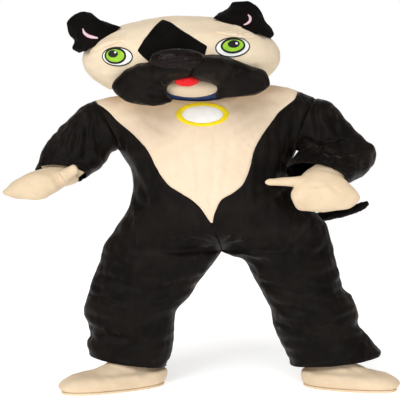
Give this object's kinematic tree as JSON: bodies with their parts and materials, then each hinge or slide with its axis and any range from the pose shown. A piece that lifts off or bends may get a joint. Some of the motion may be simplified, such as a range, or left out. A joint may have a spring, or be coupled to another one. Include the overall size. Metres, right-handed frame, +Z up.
{
  "type": "dog mascot costume",
  "caption": "Plush dog mascot costume as worn: jumpsuit with a pale chest, hollow dog head, mitts, shoe covers, satin collar with a round tag, and tail.",
  "frame": {"origin": "where the wearer carries the costume: at the neck between the shoulders, 1.32 m above the ground that the shoe covers stand on", "axes": "+Z up, -Y the way the costume looks, +X to the wearer's left"},
  "size_m": [1.7736, 0.7669, 1.756],
  "materials": {
    "black_plush": "short plush pile",
    "cream_plush": "short plush pile",
    "blue_satin": "satin",
    "yellow_felt": "felt",
    "white_felt": "felt",
    "green_felt": "felt",
    "red_felt": "felt",
    "pink_satin": "satin",
    "black_vinyl": "glossy padded vinyl",
    "black_felt": "felt"
  },
  "bodies": {
    "root": {"back_left": "black_plush", "back_right": "black_plush", "front_left": "black_plush", "front_right": "black_plush", "sleeve_left": "black_plush", "sleeve_right": "black_plush", "head_patch": "black_plush", "jowl_left": "black_plush", "jowl_right": "black_plush", "ear_left": "black_plush", "ear_right": "black_plush", "tail": "black_plush", "chest_front": "cream_plush", "head_face": "cream_plush", "head_back_left": "cream_plush", "head_back_right": "cream_plush", "head_chin": "cream_plush", "brow_left": "cream_plush", "brow_right": "cream_plush", "mitt_left": "cream_plush", "mitt_right": "cream_plush", "shoe_upper_left": "cream_plush", "shoe_upper_right": "cream_plush", "shoe_sole_left": "cream_plush", "shoe_sole_right": "cream_plush", "collar": "blue_satin", "tag_ring": "yellow_felt", "tag_disc": "white_felt", "eye_white_left": "white_felt", "eye_white_right": "white_felt", "eye_iris_left": "green_felt", "eye_iris_right": "green_felt", "tongue": "red_felt", "ear_lining_left": "pink_satin", "ear_lining_right": "pink_satin", "nose": "black_vinyl", "eye_pupil_left": "black_felt", "eye_pupil_right": "black_felt"}
  },
  "joints": []
}
